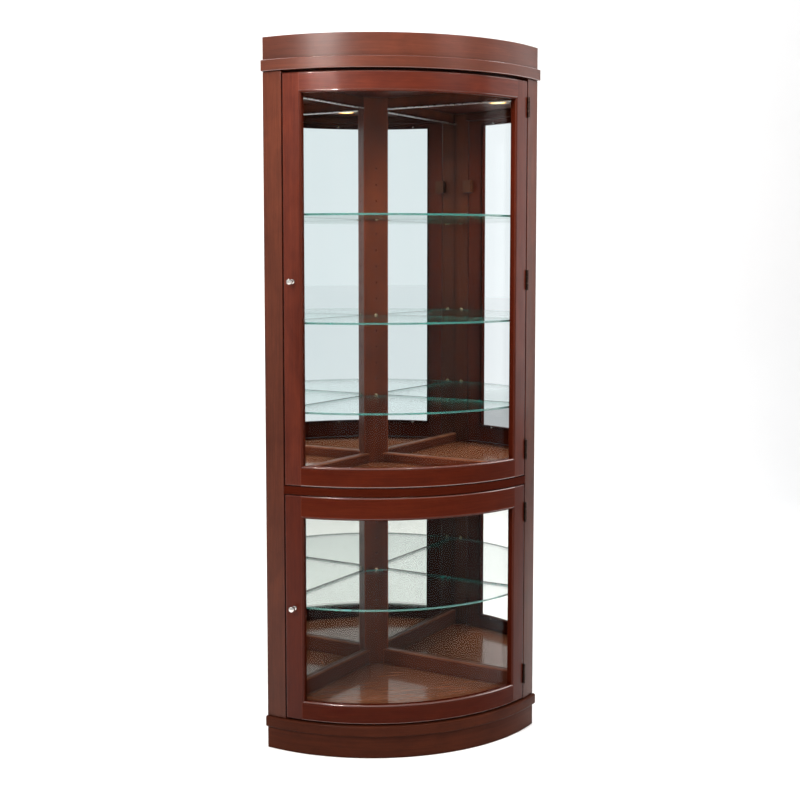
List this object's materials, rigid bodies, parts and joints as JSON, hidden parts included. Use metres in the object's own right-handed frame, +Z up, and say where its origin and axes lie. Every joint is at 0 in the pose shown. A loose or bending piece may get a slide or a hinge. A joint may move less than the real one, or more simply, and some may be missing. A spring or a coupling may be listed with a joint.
{
  "type": "corner china cabinet",
  "caption": "Quarter-round corner display cabinet in cherry wood with curved glass doors over and under, mirrored back, glass shelves and a ceiling lamp.",
  "frame": {"origin": "on the floor, at the middle of the bounding box's base", "axes": "+Z up; -Y is the front, towards the user; +X is the hinge side; the room's corner is at +Y"},
  "size_m": [0.8132, 0.553, 2],
  "materials": {
    "cherry": "cherry-stained hardwood, satin lacquer",
    "backing": "plain brown hardboard",
    "mirror": "silvered mirror glass",
    "glass": "clear float glass with green edges",
    "nickel": "polished nickel",
    "bronze": "dark bronze",
    "brass": "polished brass",
    "catch_plastic": "brown plastic",
    "lamp_glass": "frosted lamp glass, warm"
  },
  "bodies": {
    "root": {"back_panel_left": "backing", "back_panel_right": "backing", "base_moulding": "cherry", "catch_lower": "catch_plastic", "catch_upper": "catch_plastic", "ceiling_panel": "cherry", "corner_post": "cherry", "crown": "cherry", "crown_moulding": "cherry", "head_rail": "cherry", "lamp_canister": "brass", "lamp_lens": "lamp_glass", "lower_deck": "cherry", "lower_hinge_1_case_leaf": "bronze", "lower_hinge_2_case_leaf": "bronze", "mid_deck": "cherry", "mid_rail": "cherry", "mirror_lower_left": "mirror", "mirror_lower_right": "mirror", "mirror_rail_lower_left": "cherry", "mirror_rail_lower_right": "cherry", "mirror_rail_upper_left": "cherry", "mirror_rail_upper_right": "cherry", "mirror_upper_left": "mirror", "mirror_upper_right": "mirror", "plinth": "cherry", "shelf_lower": "glass", "shelf_lower_clip": "brass", "shelf_upper_1": "glass", "shelf_upper_1_clip": "brass", "shelf_upper_2": "glass", "shelf_upper_2_clip": "brass", "shelf_upper_3": "glass", "shelf_upper_3_clip": "brass", "stile_left": "cherry", "stile_right": "cherry", "top_panel": "backing", "upper_hinge_1_case_leaf": "bronze", "upper_hinge_2_case_leaf": "bronze", "upper_hinge_3_case_leaf": "bronze"},
    "upper_door": {"strike_upper": "nickel", "upper_door_bottom_rail": "cherry", "upper_door_glass": "glass", "upper_door_hinge_stile": "cherry", "upper_door_knob": "nickel", "upper_door_knob_stile": "cherry", "upper_door_top_rail": "cherry", "upper_hinge_1_door_leaf": "bronze", "upper_hinge_2_door_leaf": "bronze", "upper_hinge_3_door_leaf": "bronze"},
    "lower_door": {"lower_door_bottom_rail": "cherry", "lower_door_glass": "glass", "lower_door_hinge_stile": "cherry", "lower_door_knob": "nickel", "lower_door_knob_stile": "cherry", "lower_door_top_rail": "cherry", "lower_hinge_1_door_leaf": "bronze", "lower_hinge_2_door_leaf": "bronze", "strike_lower": "nickel"}
  },
  "joints": [
    {"name": "upper_door_hinge", "type": "hinge", "parent": "root", "child": "upper_door", "pos_m": [0.35743, -0.13714, 1.333], "axis": [0, 0, 1], "range_deg": [0, 110]},
    {"name": "lower_door_hinge", "type": "hinge", "parent": "root", "child": "lower_door", "pos_m": [0.35743, -0.13714, 0.413], "axis": [0, 0, 1], "range_deg": [0, 110]}
  ]
}
